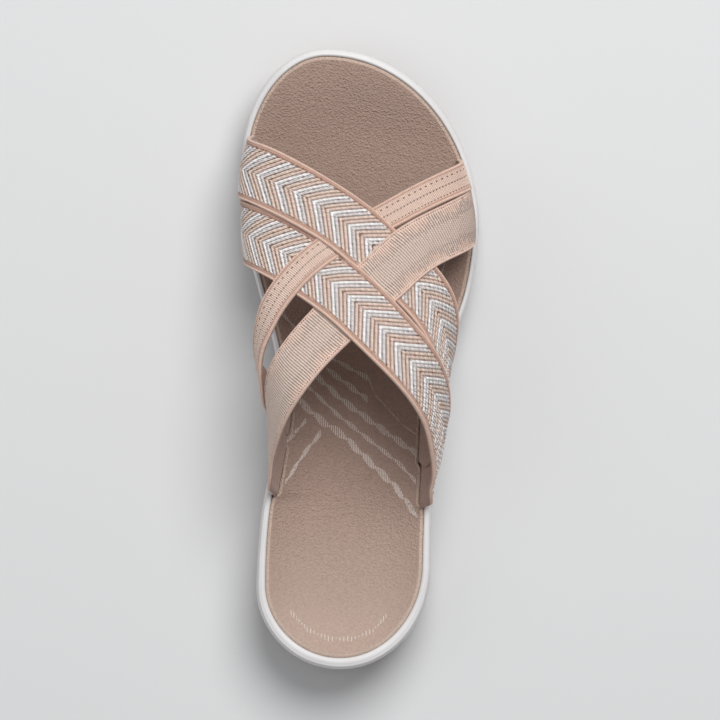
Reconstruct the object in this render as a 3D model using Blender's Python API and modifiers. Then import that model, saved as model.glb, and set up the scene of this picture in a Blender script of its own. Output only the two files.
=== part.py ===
"""Slip-on sandal, right shoe: outsole, midsole, footbed and an upper of four woven straps.

Metres, +Z up. +Y runs to the toe, +X to the outer (lateral) side of the foot, and the floor is z = 0. The
whole shoe follows one outline and one last, modelled from the heel's end, so each piece reads the same
tables. An empty then sets the origin on the flat spot under the heel.
"""
import math

import bmesh
import bpy
import numpy as np

# Driving sizes
LENGTH = 0.256
BALL_WIDTH = 0.098
HEEL_HEIGHT = 0.0265
BALL_HEIGHT = 0.0185
TOE_SPRING = 0.011
INSTEP = 0.0537

# Sole
OUTSOLE_THICKNESS = 0.004
OUTSOLE_INSET = 0.0022
OUTSOLE_EDGE = 0.0025
PANEL_DEPTH = 0.002
PANEL_BORDER = 0.005
SIDE_FLARE = 0.0024
RIM_WIDTH = 0.003
RIM_EDGE = 0.0008

# Footbed
BED_THICKNESS = 0.006
BED_DROP = 0.0008
BED_EDGE = 0.0016
CUP_DEPTH = 0.007

# Upper
CHEVRON_WIDTH = 0.0243
BACK_WIDTH = 0.0249
NARROW_WIDTH = 0.012
WIDE_WIDTH = 0.0217
WALL = 0.0018
BINDING = 0.0026
BINDING_GROW = 1.15
SIDE_BULGE = 0.010
TAB_DEPTH = 0.0048

# Fits
SEAM = 0.0003
FUSE = 0.00035

# Mesh fineness
STATIONS = 31
STRAP_ROWS = 27
SLOT_SECTIONS = 7
LAST_SPAN = (0.22, 0.90)
LAST_SLICES = 137
LAST_STEPS = 141
EDGE_STEPS = 61
SLOPE_STEP = 0.01
WELD = 0.00002


def table(names, rows):
    """Named columns from rows, one row for each section."""
    return {name: np.array([row[k] for row in rows]) for k, name in enumerate(names.split())}


# Outline: half widths as shares of the ball width, rim as a share of its width
OUTLINE = table("along medial lateral rim", (
    (0.00, 0.366, 0.372, 1.55),
    (0.15, 0.364, 0.370, 1.20),
    (0.25, 0.344, 0.373, 1.07),
    (0.33, 0.303, 0.381, 0.93),
    (0.43, 0.264, 0.398, 0.87),
    (0.52, 0.292, 0.460, 0.80),
    (0.61, 0.356, 0.538, 0.77),
    (0.70, 0.413, 0.571, 0.73),
    (0.80, 0.4285, 0.5715, 0.77),
    (1.00, 0.4285, 0.5715, 1.00),
))
# Rounded ends: how far each end's arc reaches, and where its tip lies across
HEEL_ARC = {-1: 0.135, 1: 0.165}
TOE_ARC = {-1: 0.187, 1: 0.285}
HEEL_TIP = -0.012
TOE_TIP = -0.071

# Heights: spring as a share of the toe spring, heel as a share of the drop, cup as a share of its depth
HEIGHTS = table("along spring heel medial lateral dish", (
    (0.00, 0.36, 1.00, 0.57, 0.57, 3.0),
    (0.04, 0.11, 1.00, 0.80, 0.80, 3.0),
    (0.08, 0.00, 1.00, 0.93, 0.93, 3.0),
    (0.15, 0.00, 1.00, 1.00, 1.00, 3.0),
    (0.34, 0.00, 0.97, 1.02, 0.64, 2.6),
    (0.47, 0.11, 0.70, 1.03, 0.34, 2.1),
    (0.60, 0.00, 0.31, 0.71, 0.29, 2.2),
    (0.73, 0.00, 0.00, 0.43, 0.36, 2.6),
    (0.85, 0.21, -0.16, 0.36, 0.36, 3.0),
    (1.00, 1.00, -0.37, 0.29, 0.29, 3.0),
))

# Last above the rim: bulges as shares of the side bulge, the ridge across as a share of the ball width,
# its height above the footbed as a share of the instep, how high the widest points lie, and the roundness
LAST = table("along medial lateral ridge height low_medial low_lateral round", (
    (0.20, 0.10, 0.30, 0.00, 1.18, 0.08, 0.08, 1.45),
    (0.25, 0.14, 0.34, 0.00, 1.165, 0.10, 0.10, 1.50),
    (0.33, 0.46, 0.50, 0.01, 1.12, 0.18, 0.18, 1.75),
    (0.42, 0.88, 0.72, 0.02, 1.065, 0.30, 0.24, 2.10),
    (0.50, 1.02, 0.50, 0.03, 1.00, 0.36, 0.22, 2.25),
    (0.58, 0.78, 0.32, 0.04, 0.91, 0.36, 0.22, 2.25),
    (0.66, 0.56, 0.22, 0.04, 0.80, 0.36, 0.26, 2.25),
    (0.74, 0.34, 0.10, 0.03, 0.68, 0.34, 0.30, 2.20),
    (0.80, 0.32, 0.02, 0.01, 0.59, 0.32, 0.30, 2.20),
    (0.86, 0.10, 0.02, 0.00, 0.51, 0.30, 0.30, 2.20),
    (1.00, 0.10, 0.02, 0.00, 0.31, 0.30, 0.30, 2.20),
))

# Side wall of the midsole: height as a share of the wall, inset as a share of the flare
SIDE = table("height inset", (
    (0.00, 1.00),
    (0.06, 0.67),
    (0.30, 0.25),
    (0.46, 0.15),
    (0.50, 0.46),
    (0.54, 0.15),
    (0.75, 0.00),
    (0.93, 0.17),
    (1.00, 0.50),
))

# Smooth panel under the arch: its edge away from the sole's rim, as a share of the ball width
PANEL = table("along across", (
    (0.312, -0.230),
    (0.337, -0.156),
    (0.360, -0.093),
    (0.405, -0.028),
    (0.450, -0.021),
    (0.495, -0.038),
    (0.539, -0.148),
    (0.570, -0.243),
))

# Edge of a strap: distance as a share of the binding, thickness as a share of the wall
STRAP_EDGE = table("inward thick", (
    (0.00, 0.55),
    (0.23, BINDING_GROW),
    (0.85, BINDING_GROW),
    (1.08, 1.00),
))

# Straps: width, the centre line (share across the last, share along the shoe) and the layer that it
# lies in (share of its own length, layers above the last)
STRAPS = {
    "chevron_front": {
        "width": CHEVRON_WIDTH,
        "line": table("across along", (
            (0.00, 0.814), (0.12, 0.806), (0.20, 0.7955), (0.28, 0.777), (0.37, 0.750), (0.46, 0.718),
            (0.56, 0.672), (0.67, 0.617), (0.78, 0.544), (0.88, 0.462), (1.00, 0.368),
        )),
        "layer": table("share layer", (
            (0.00, 0.0), (0.10, 0.8), (0.30, 1.2), (0.40, 1.5), (0.455, 0.3), (0.50, 0.0), (0.86, 0.0),
            (0.95, -1.0), (1.00, -1.0),
        )),
    },
    "chevron_back": {
        "width": BACK_WIDTH,
        "line": table("across along", (
            (0.00, 0.7125), (0.12, 0.7035), (0.20, 0.693), (0.28, 0.675), (0.37, 0.6445), (0.46, 0.605),
            (0.55, 0.556), (0.66, 0.493), (0.76, 0.430), (0.86, 0.371), (1.00, 0.308),
        )),
        "layer": table("share layer", (
            (0.00, 0.0), (0.33, 0.0), (0.39, 1.0), (0.50, 1.2), (0.60, 1.0), (0.90, 1.0), (0.97, 0.0),
            (1.00, 0.0),
        )),
    },
    "plain_narrow": {
        "width": NARROW_WIDTH,
        "line": table("across along", (
            (0.00, 0.400), (0.08, 0.438), (0.16, 0.496), (0.22, 0.546), (0.255, 0.580), (0.32, 0.629),
            (0.37, 0.656), (0.43, 0.682), (0.50, 0.704), (0.60, 0.732), (0.70, 0.7575), (0.80, 0.778),
            (0.90, 0.793), (1.00, 0.800),
        )),
        "layer": table("share layer", (
            (0.00, 0.0), (0.07, 0.9), (0.15, 1.0), (0.49, 1.0), (0.545, 0.35), (0.60, 0.0), (0.67, 0.0),
            (0.76, 0.55), (0.93, 0.55), (1.00, 0.0),
        )),
    },
    "plain_wide": {
        "width": WIDE_WIDTH,
        "line": table("across along", (
            (0.00, 0.320), (0.10, 0.366), (0.20, 0.415), (0.29, 0.465), (0.38, 0.523), (0.43, 0.5545),
            (0.50, 0.596), (0.56, 0.6245), (0.63, 0.6615), (0.70, 0.6875), (0.80, 0.7105), (0.90, 0.728),
            (1.00, 0.739),
        )),
        "layer": table("share layer", (
            (0.00, 0.0), (0.55, 0.0), (0.59, 0.5), (0.63, 1.0), (0.71, 1.0), (0.79, 0.0), (1.00, 0.0),
        )),
    },
}
FIRST_STRAP = "chevron_front"

# Slices where the inner rings of the sole end, and the flat spot under the heel, as shares of the length
SPINE_HEEL = 0.13
SPINE_TOE = 0.82
HEEL_REST = 0.20

COLOURS = {
    "outsole": (0.420, 0.287, 0.227, 0.70),
    "midsole": (0.800, 0.795, 0.790, 0.55),
    "footbed": (0.342, 0.238, 0.192, 0.60),
    "upper": (0.560, 0.448, 0.395, 0.85),
}


def read(columns, name, at):
    """Smooth value of a column between its rows; it stays flat where neighbouring rows are equal."""
    xs = columns[next(iter(columns))]
    ys = columns[name]
    steps = np.diff(ys) / np.diff(xs)
    slopes = np.zeros(len(xs))
    inner = (ys[2:] - ys[:-2]) / (xs[2:] - xs[:-2])
    slopes[1:-1] = np.where(steps[:-1] * steps[1:] > 0, inner, 0)
    at = np.clip(at, xs[0], xs[-1])
    k = np.clip(np.searchsorted(xs, at, side="right") - 1, 0, len(xs) - 2)
    gap = xs[k + 1] - xs[k]
    f = (at - xs[k]) / gap
    start = (1 + 2 * f) * (1 - f) ** 2 * ys[k] + f * (1 - f) ** 2 * gap * slopes[k]
    return start + f * f * (3 - 2 * f) * ys[k + 1] + f * f * (f - 1) * gap * slopes[k + 1]


def side_name(side):
    return "medial" if side < 0 else "lateral"


def outline_x(side, along):
    """Edge of the sole across, on one side of the shoe (-1 medial, 1 lateral)."""
    along = np.clip(along, 0, 1)
    wide = side * read(OUTLINE, side_name(side), along) * BALL_WIDTH
    heel_tip = HEEL_TIP * BALL_WIDTH
    toe_tip = TOE_TIP * BALL_WIDTH
    into_heel = np.clip(1 - along / HEEL_ARC[side], 0, 1)
    into_toe = np.clip(1 - (1 - along) / TOE_ARC[side], 0, 1)
    wide = heel_tip + (wide - heel_tip) * np.sqrt(1 - into_heel ** 2)
    return np.where(into_toe > 0, toe_tip + (wide - toe_tip) * np.sqrt(1 - into_toe ** 2), wide)


def inset_x(side, along, inset):
    """The same edge moved inward at right angles, away from the rounded ends."""
    step = 0.001
    slope = (outline_x(side, along + step) - outline_x(side, along - step)) / (2 * step * LENGTH)
    return outline_x(side, along) - side * inset * np.sqrt(1 + slope ** 2)


def ground_z(along):
    return TOE_SPRING * read(HEIGHTS, "spring", along)


def bed_z(along):
    """Footbed along its middle."""
    drop = HEEL_HEIGHT - BALL_HEIGHT
    return BALL_HEIGHT + drop * read(HEIGHTS, "heel", along) + ground_z(along)


def rim_z(side, along):
    return bed_z(along) + CUP_DEPTH * read(HEIGHTS, side_name(side), along)


def rim_width(along):
    return RIM_WIDTH * read(OUTLINE, "rim", along)


def loop_stations():
    """Shares along the shoe once round the outline, close together at heel and toe, and their sides."""
    up = (1 - np.cos(np.linspace(0, math.pi, STATIONS))) / 2
    along = np.concatenate([up, up[-2:0:-1]])
    side = np.concatenate([-np.ones(STATIONS), np.ones(STATIONS - 2)])
    return along, side


LOOP_ALONG, LOOP_SIDE = loop_stations()


def by_side(function, *values):
    """A value of each loop point, read on the side where the point lies."""
    medial = function(-1, LOOP_ALONG, *values)
    lateral = function(1, LOOP_ALONG, *values)
    return np.where(LOOP_SIDE < 0, medial, lateral)


def outline_loop():
    return np.stack([by_side(outline_x), LOOP_ALONG * LENGTH], 1)


def inset_loop(inset):
    """The outline moved inward; the inset may change along the shoe."""
    loop = outline_loop()
    ahead = np.roll(loop, -1, 0) - np.roll(loop, 1, 0)
    ahead /= np.linalg.norm(ahead, axis=1)[:, None]
    inward = np.stack([ahead[:, 1], -ahead[:, 0]], 1)
    return loop + inward * np.broadcast_to(inset, LOOP_ALONG.shape)[:, None]


def toward_spine(loop, share):
    """A ring inside a loop: share 1 is the loop itself, share 0 the shoe's middle line."""
    along = np.clip(LOOP_ALONG, SPINE_HEEL, SPINE_TOE)
    middle = (outline_x(-1, along) + outline_x(1, along)) / 2
    spine = np.stack([middle, along * LENGTH], 1)
    return spine + share * (loop - spine)


def ring(loop, height):
    return np.column_stack([loop, np.broadcast_to(height, len(loop))])


def new_object(name, mesh_data, collection):
    mesh = bpy.data.meshes.new(name)
    mesh_data.to_mesh(mesh)
    mesh_data.free()
    mesh.shade_smooth()
    mesh.set_sharp_from_angle(angle=math.radians(40))
    obj = bpy.data.objects.new(name, mesh)
    collection.objects.link(obj)
    return obj


def grid_faces(mesh_data, rows, closed):
    """Faces between rows of points, each row a ring when closed."""
    verts = [[mesh_data.verts.new(point) for point in row] for row in rows]
    width = len(rows[0])
    for low, high in zip(verts, verts[1:]):
        for k in range(width if closed else width - 1):
            nxt = (k + 1) % width
            mesh_data.faces.new((low[k], low[nxt], high[nxt], high[k]))
    return verts


def ring_body(name, rings, collection):
    """One closed body from rings; the first and last ring fold onto the shoe's middle line."""
    mesh_data = bmesh.new()
    grid_faces(mesh_data, rings, True)
    bmesh.ops.remove_doubles(mesh_data, verts=mesh_data.verts, dist=WELD)
    bmesh.ops.recalc_face_normals(mesh_data, faces=mesh_data.faces)
    return new_object(name, mesh_data, collection)


def guide(obj):
    """Marks a cutter or a piece that is only joined to another."""
    obj.hide_render = True
    obj.display_type = "WIRE"
    return obj


def boolean(obj, other, operation):
    modifier = obj.modifiers.new(operation.lower() + "_" + other.name, "BOOLEAN")
    modifier.operation = operation
    modifier.solver = "EXACT"
    modifier.object = other


def add_material(obj):
    red, green, blue, rough = COLOURS[obj.name]
    material = bpy.data.materials.new(obj.name)
    material.use_nodes = True
    shader = material.node_tree.nodes["Principled BSDF"]
    shader.inputs["Base Color"].default_value = (red, green, blue, 1)
    shader.inputs["Roughness"].default_value = rough
    shader.inputs["Metallic"].default_value = 0
    obj.data.materials.append(material)


# Outsole
def panel_cutter(collection):
    """Flat outline of the smooth panel under the arch, drawn as a 2D curve and made a mesh."""
    along = np.linspace(PANEL["along"][0], PANEL["along"][-1], 15)
    inner = read(PANEL, "across", along) * BALL_WIDTH
    rim = inset_x(-1, along, PANEL_BORDER)
    points = list(zip(inner, along * LENGTH)) + list(zip(rim, along * LENGTH))[::-1]
    curve = bpy.data.curves.new("panel_outline", "CURVE")
    curve.dimensions = "2D"
    curve.fill_mode = "BOTH"
    curve.extrude = PANEL_DEPTH
    spline = curve.splines.new("POLY")
    spline.points.add(len(points) - 1)
    for point, (x, y) in zip(spline.points, points):
        point.co = (x, y, 0, 1)
    spline.use_cyclic_u = True
    drawn = bpy.data.objects.new("panel_outline", curve)
    collection.objects.link(drawn)
    bpy.context.view_layer.update()
    flat = bpy.data.meshes.new_from_object(drawn.evaluated_get(bpy.context.evaluated_depsgraph_get()))
    mesh_data = bmesh.new()
    mesh_data.from_mesh(flat)
    bmesh.ops.remove_doubles(mesh_data, verts=mesh_data.verts, dist=WELD)
    bmesh.ops.recalc_face_normals(mesh_data, faces=mesh_data.faces)
    cutter = new_object("arch_panel", mesh_data, collection)
    cutter.matrix_world = drawn.matrix_world
    bpy.data.objects.remove(drawn)
    bpy.data.meshes.remove(flat)
    return guide(cutter)


def build_outsole(parts, guides):
    low = ground_z(LOOP_ALONG)
    flat_edge = inset_loop(OUTSOLE_INSET + OUTSOLE_EDGE)
    corner = inset_loop(OUTSOLE_INSET + 0.3 * OUTSOLE_EDGE)
    wall = inset_loop(OUTSOLE_INSET)
    inner = [toward_spine(flat_edge, share) for share in (0, 0.5)]
    rings = [ring(loop, ground_z(loop[:, 1] / LENGTH)) for loop in inner]
    rings.append(ring(flat_edge, ground_z(flat_edge[:, 1] / LENGTH)))
    rings.append(ring(corner, low + 0.3 * OUTSOLE_EDGE))
    rings.append(ring(wall, low + OUTSOLE_EDGE))
    rings.append(ring(wall, low + OUTSOLE_THICKNESS))
    top = toward_spine(wall, 0)
    rings.append(ring(top, ground_z(top[:, 1] / LENGTH) + OUTSOLE_THICKNESS))
    outsole = ring_body("outsole", rings, parts)
    boolean(outsole, panel_cutter(guides), "DIFFERENCE")
    add_material(outsole)


# Midsole
def floor_z(along):
    """Floor of the recess that holds the footbed."""
    return bed_z(along) - BED_THICKNESS - SEAM


def build_midsole(parts):
    low = ground_z(LOOP_ALONG) + OUTSOLE_THICKNESS + SEAM
    high = by_side(rim_z)
    rim = rim_width(LOOP_ALONG)
    bottom = inset_loop(SIDE_FLARE)
    middle = toward_spine(bottom, 0)
    rings = [ring(middle, ground_z(middle[:, 1] / LENGTH) + OUTSOLE_THICKNESS + SEAM)]
    for height, inset in zip(SIDE["height"], SIDE["inset"]):
        rings.append(ring(inset_loop(inset * SIDE_FLARE), low + height * (high - low)))
    rings.append(ring(inset_loop(rim - RIM_EDGE), high))
    rings.append(ring(inset_loop(rim), high - RIM_EDGE))
    wall = inset_loop(rim)
    rings.append(ring(wall, floor_z(wall[:, 1] / LENGTH)))
    middle = toward_spine(wall, 0)
    rings.append(ring(middle, floor_z(middle[:, 1] / LENGTH)))
    add_material(ring_body("midsole", rings, parts))


# Last and straps
def half_arch(side, along):
    """Section of the last from the slot beside the rim up to the ridge, as points across and up."""
    foot_x = inset_x(side, along, rim_width(along) + SEAM + WALL * BINDING_GROW / 2)
    foot_z = rim_z(side, along) + 2 * SEAM
    ridge_x = BALL_WIDTH * read(LAST, "ridge", along)
    ridge_z = bed_z(along) + INSTEP * read(LAST, "height", along)
    wide_x = foot_x + side * SIDE_BULGE * read(LAST, side_name(side), along)
    wide_z = foot_z + (ridge_z - foot_z) * read(LAST, "low_" + side_name(side), along)
    power = 2 / read(LAST, "round", along)
    up = np.linspace(0, 1, 12)
    low = np.stack([foot_x + (wide_x - foot_x) * up * up * (3 - 2 * up), foot_z + (wide_z - foot_z) * up], 1)
    turn = np.linspace(0, math.pi / 2, 40)[1:]
    over = ridge_x + (wide_x - ridge_x) * np.maximum(np.cos(turn), 0) ** power
    high = np.stack([over, wide_z + (ridge_z - wide_z) * np.sin(turn) ** power], 1)
    return np.concatenate([low, high])


def last_grid():
    """The last as a grid of points: one arch for each slice, with even steps along the arch."""
    slices = []
    for along in np.linspace(*LAST_SPAN, LAST_SLICES):
        arch = np.concatenate([half_arch(-1, along), half_arch(1, along)[-2::-1]])
        reach = np.concatenate([[0], np.cumsum(np.linalg.norm(np.diff(arch, axis=0), axis=1))])
        even = np.linspace(0, reach[-1], LAST_STEPS)
        x = np.interp(even, reach, arch[:, 0])
        z = np.interp(even, reach, arch[:, 1])
        slices.append(np.column_stack([x, np.full(LAST_STEPS, along * LENGTH), z]))
    return np.array(slices)


LAST_GRID = last_grid()


def on_last(across, along):
    """Points of the last: across is the share of the arch's length, from the medial slot to the lateral."""
    u = np.clip(across, 0, 1) * (LAST_STEPS - 1)
    v = np.clip((along - LAST_SPAN[0]) / (LAST_SPAN[1] - LAST_SPAN[0]), 0, 1) * (LAST_SLICES - 1)
    i = np.minimum(np.floor(u).astype(int), LAST_STEPS - 2)
    j = np.minimum(np.floor(v).astype(int), LAST_SLICES - 2)
    right = (u - i)[..., None]
    ahead = (v - j)[..., None]
    low = LAST_GRID[j, i] * (1 - right) + LAST_GRID[j, i + 1] * right
    high = LAST_GRID[j + 1, i] * (1 - right) + LAST_GRID[j + 1, i + 1] * right
    return low * (1 - ahead) + high * ahead


def unit(vectors):
    return vectors / np.linalg.norm(vectors, axis=-1, keepdims=True)


def last_slopes(across, along):
    """How a point of the last moves with the share across and with the share along."""
    left = np.maximum(across - SLOPE_STEP, 0)
    right = np.minimum(across + SLOPE_STEP, 1)
    d_across = (on_last(right, along) - on_last(left, along)) / (right - left)[..., None]
    d_along = (on_last(across, along + SLOPE_STEP) - on_last(across, along - SLOPE_STEP)) / (2 * SLOPE_STEP)
    return d_across, d_along


def strap_edge(strap, side):
    """Edge of a strap (side 1 toe, -1 heel): its centre line moved half the width over the last."""
    across = np.linspace(0, 1, EDGE_STEPS)
    along = read(strap["line"], "along", across)
    d_across, d_along = last_slopes(across, along)
    ahead = d_across + d_along * np.gradient(along, across)[:, None]
    sideways = unit(np.cross(np.cross(d_across, d_along), ahead)) * side * strap["width"] / 2
    aa = np.sum(d_across * d_across, 1)
    bb = np.sum(d_along * d_along, 1)
    ab = np.sum(d_across * d_along, 1)
    sa = np.sum(sideways * d_across, 1)
    sb = np.sum(sideways * d_along, 1)
    move = np.stack([sa * bb - sb * ab, sb * aa - sa * ab]) / (aa * bb - ab * ab)
    reached = np.linalg.norm(on_last(across + move[0], along + move[1]) - on_last(across, along), axis=1)
    inside = (across + move[0] > 0) & (across + move[0] < 1)
    move = np.where(inside, move * strap["width"] / 2 / reached, move)
    edge = np.column_stack([across + move[0], along + move[1]])
    return edge[np.argsort(edge[:, 0])]


def edge_along(strap, side, across):
    """Share along the shoe of a strap's edge where the last's share across is given."""
    edge = strap_edge(strap, side)
    return np.interp(across, edge[:, 0], edge[:, 1])


def strap_surface(strap):
    """Rows of points over the last and the thickness share of each column.

    A row runs from the strap's heel edge to its toe edge at one share across the last; the first and
    last rows are the ends of the tabs in the slot.
    """
    inward = STRAP_EDGE["inward"] * BINDING / strap["width"]
    columns = np.concatenate([inward, [0.5], 1 - inward[::-1]])
    thick = np.concatenate([STRAP_EDGE["thick"], [1.0], STRAP_EDGE["thick"][::-1]])
    shares = np.linspace(0, 1, STRAP_ROWS)
    back = edge_along(strap, -1, shares)
    front = edge_along(strap, 1, shares)
    along = back[:, None] + columns * (front - back)[:, None]
    across = np.broadcast_to(shares[:, None], along.shape)
    points = on_last(across, along)
    centre = on_last(shares, read(strap["line"], "along", shares))
    reach = np.concatenate([[0], np.cumsum(np.linalg.norm(np.diff(centre, axis=0), axis=1))])
    ahead = unit(np.gradient(centre, axis=0))
    own = reach[:, None] + np.sum((points - centre[:, None]) * ahead[:, None], axis=2)
    layer = read(strap["layer"], "layer", own / reach[-1])
    outward = unit(np.cross(*last_slopes(across, along)))
    points = points + outward * (layer * (WALL - FUSE))[..., None]
    down = np.array([0, 0, TAB_DEPTH])
    return np.concatenate([points[:1] - down, points, points[-1:] - down]), thick


def build_strap(name, collection):
    """A strap as an open surface with a wall from Solidify, thicker along its bound edges."""
    rows, thick = strap_surface(STRAPS[name])
    mesh_data = bmesh.new()
    grid_faces(mesh_data, rows, False)
    bmesh.ops.recalc_face_normals(mesh_data, faces=mesh_data.faces)
    strap = new_object(name, mesh_data, collection)
    group = strap.vertex_groups.new(name="thickness")
    for index in range(len(rows) * len(thick)):
        group.add([index], float(thick[index % len(thick)] / BINDING_GROW), "REPLACE")
    wall = strap.modifiers.new("wall", "SOLIDIFY")
    wall.thickness = WALL * BINDING_GROW
    wall.offset = 0
    wall.vertex_group = group.name
    wall.thickness_vertex_group = 0
    wall.use_even_offset = True
    return strap


def build_upper(parts, guides):
    """The straps joined where they cross."""
    upper = build_strap(FIRST_STRAP, parts)
    upper.name = "upper"
    for name in STRAPS:
        if name != FIRST_STRAP:
            boolean(upper, guide(build_strap(name, guides)), "UNION")
    add_material(upper)


# Footbed
def slot_cutter(name, side, collection):
    """Room beside the rim for one tab of a strap, with the seam's clearance all round."""
    strap = STRAPS[name]
    end = 0 if side < 0 else -1
    tab_y = strap_surface(strap)[0][end][:, 1]
    half_wall = WALL * BINDING_GROW / 2
    shift = strap["layer"]["layer"][end] * (WALL - FUSE)
    sections = []
    for along in np.linspace(tab_y.min() - SEAM, tab_y.max() + SEAM, SLOT_SECTIONS) / LENGTH:
        middle = float(rim_width(along)) + SEAM + half_wall - shift
        outer = inset_x(side, along, 0)
        inner = inset_x(side, along, middle + half_wall + SEAM)
        low = float(floor_z(along)) - RIM_WIDTH
        high = float(rim_z(side, along)) + RIM_WIDTH
        y = along * LENGTH
        sections.append([(outer, y, low), (inner, y, low), (inner, y, high), (outer, y, high)])
    mesh_data = bmesh.new()
    verts = grid_faces(mesh_data, sections, True)
    mesh_data.faces.new(verts[0])
    mesh_data.faces.new(verts[-1])
    bmesh.ops.recalc_face_normals(mesh_data, faces=mesh_data.faces)
    return guide(new_object("slot_" + name + "_" + side_name(side), mesh_data, collection))


def build_footbed(parts, guides):
    edge_gap = rim_width(LOOP_ALONG) + SEAM
    edge = inset_loop(edge_gap)
    shoulder = inset_loop(edge_gap + 0.3 * BED_EDGE)
    crown = inset_loop(edge_gap + BED_EDGE)
    top = by_side(rim_z) - BED_DROP
    under = toward_spine(edge, 0)
    rings = [ring(under, floor_z(under[:, 1] / LENGTH) + SEAM)]
    rings.append(ring(edge, floor_z(edge[:, 1] / LENGTH) + SEAM))
    rings.append(ring(edge, top - BED_EDGE))
    rings.append(ring(shoulder, top - 0.3 * BED_EDGE))
    for share in (1, 0.9, 0.77, 0.6, 0.4, 0.2, 0):
        loop = toward_spine(crown, share)
        along = loop[:, 1] / LENGTH
        centre = bed_z(along)
        rings.append(ring(loop, centre + (top - centre) * share ** read(HEIGHTS, "dish", along)))
    footbed = ring_body("footbed", rings, parts)
    for name in STRAPS:
        for side in (-1, 1):
            boolean(footbed, slot_cutter(name, side, guides), "DIFFERENCE")
    add_material(footbed)


def place_origin(*collections):
    """Moves the shoe so that the flat spot under its heel is the origin."""
    origin = bpy.data.objects.new("origin", None)
    origin.location = (0, -HEEL_REST * LENGTH, 0)
    for collection in collections:
        for obj in collection.objects:
            obj.parent = origin
    collections[0].objects.link(origin)


def main():
    for obj in list(bpy.data.objects):
        bpy.data.objects.remove(obj)
    parts = bpy.data.collections.new("sandal")
    guides = bpy.data.collections.new("guides")
    bpy.context.scene.collection.children.link(parts)
    bpy.context.scene.collection.children.link(guides)
    build_outsole(parts, guides)
    build_midsole(parts)
    build_footbed(parts, guides)
    build_upper(parts, guides)
    place_origin(parts, guides)


main()
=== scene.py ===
"""Looks of the slip-on sandal, a right shoe: knitted straps, footbed, foam midsole and rubber outsole."""
import math

import bmesh
import bpy
import numpy as np
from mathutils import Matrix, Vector
from mathutils.bvhtree import BVHTree


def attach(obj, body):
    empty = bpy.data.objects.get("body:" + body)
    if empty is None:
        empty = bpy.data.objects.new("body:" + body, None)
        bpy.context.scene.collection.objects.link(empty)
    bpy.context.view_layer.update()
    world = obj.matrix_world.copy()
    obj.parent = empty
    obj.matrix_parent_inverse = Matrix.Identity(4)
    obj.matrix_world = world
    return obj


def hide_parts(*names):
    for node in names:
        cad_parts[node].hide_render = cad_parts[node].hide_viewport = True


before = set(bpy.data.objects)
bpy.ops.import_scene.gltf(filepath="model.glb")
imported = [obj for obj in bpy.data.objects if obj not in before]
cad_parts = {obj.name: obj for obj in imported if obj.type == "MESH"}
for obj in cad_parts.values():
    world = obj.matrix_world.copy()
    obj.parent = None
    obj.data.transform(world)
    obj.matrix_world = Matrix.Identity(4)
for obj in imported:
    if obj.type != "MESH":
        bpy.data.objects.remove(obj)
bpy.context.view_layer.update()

# Driving sizes, in metres
LENGTH = 0.256
BALL_WIDTH = 0.098
HEEL_HEIGHT = 0.0265
BALL_HEIGHT = 0.0185
TOE_SPRING = 0.011
INSTEP = 0.0537
HEEL_REST = 0.20

# Sole and footbed
OUTSOLE_THICKNESS = 0.004
OUTSOLE_INSET = 0.0022
OUTSOLE_EDGE = 0.0025
PANEL_DEPTH = 0.002
PANEL_BORDER = 0.005
TREAD_DEPTH = 0.0009
TREAD_BORDER = 0.0024
SIDE_FLARE = 0.0024
RIM_WIDTH = 0.003
RIM_EDGE = 0.0008
BED_THICKNESS = 0.006
BED_DROP = 0.0004
BED_EDGE = 0.0014
BED_EDGE_TURNS = 7
BED_EDGE_DEPTH = 0.0009
CUP_DEPTH = 0.007
SPINE_HEEL = 0.13
SPINE_TOE = 0.82

# Straps
CHEVRON_WIDTH = 0.0243
BACK_WIDTH = 0.0249
NARROW_WIDTH = 0.012
WIDE_WIDTH = 0.0217
WALL = 0.0018
BINDING_GROW = 1.15
SIDE_BULGE = 0.010
TAB_DEPTH = 0.0048
TAB_RAMP = 0.006
SEAM = 0.0003
FUSE = 0.00035
WELD = 0.000001

# Fineness
SOLE_STATIONS = 201
SIDE_RINGS = 29
BED_RINGS = 33
TREAD_STATIONS = 501
TREAD_RINGS = 64
RIB_STEPS = 180
LAST_SPAN = (0.22, 0.90)
LAST_SLICES = 341
LAST_STEPS = 361
EDGE_STEPS = 121
SLOPE_STEP = 0.01
STRAP_STEPS = 401
UNDER_POINTS = 10
ARCH_LOW = 12
ARCH_HIGH = 40
RIM_RINGS = 9
EDGE_RINGS = 6

# Chevron knit: four cords in each period, with a stitched line after each
PERIOD = 0.00905
LINES = 8
CHEVRON_START = 0.0875
CHEVRON_STEP = 0.00024
CORD_STEPS = 4
CORD_LIFT = 0.00040
CORD_SHARE = 0.60
LOOP = 0.00085
LOOP_SHIFT = 2.4

# Ribs across the plain straps, with four rows of points in each
RIB_ROWS = 4
NARROW_RIB = 0.0008
NARROW_STEP = 0.0002
WIDE_RIB = 0.0011
WIDE_STEP = 0.00022

# Faces of the knit above and below the middle of a strap's wall
CHEVRON_FACE = 0.34 * WALL
BINDING_FACE = 0.36 * WALL
WIDE_FACE = 0.38 * WALL
NARROW_FACE = 0.40 * WALL
LINING_FACE = -0.42 * WALL

# Binding at a strap's edges, measured from the edge inward
BINDING_RUN = 0.0025
ROLL_END = 0.00115
ROLL_MIDDLE = 0.0006
ROW_MIDDLE = 0.0017
ROLL_REACH = 0.0006
ROW_SHARE = 0.6
EDGE_ROUND = 0.0004
EDGE_FALL = 0.0006
UNDER_INSET = 0.0002
CHEVRON_BINDING = 0.0023
CHEVRON_SCALLOP = 0.0004
CHEVRON_ROLL = 0.00045
NARROW_BINDING = 0.0016
NARROW_ROLL = 0.00038
WIDE_BINDING = 0.0012
WIDE_ROLL = 0.00036

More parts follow.
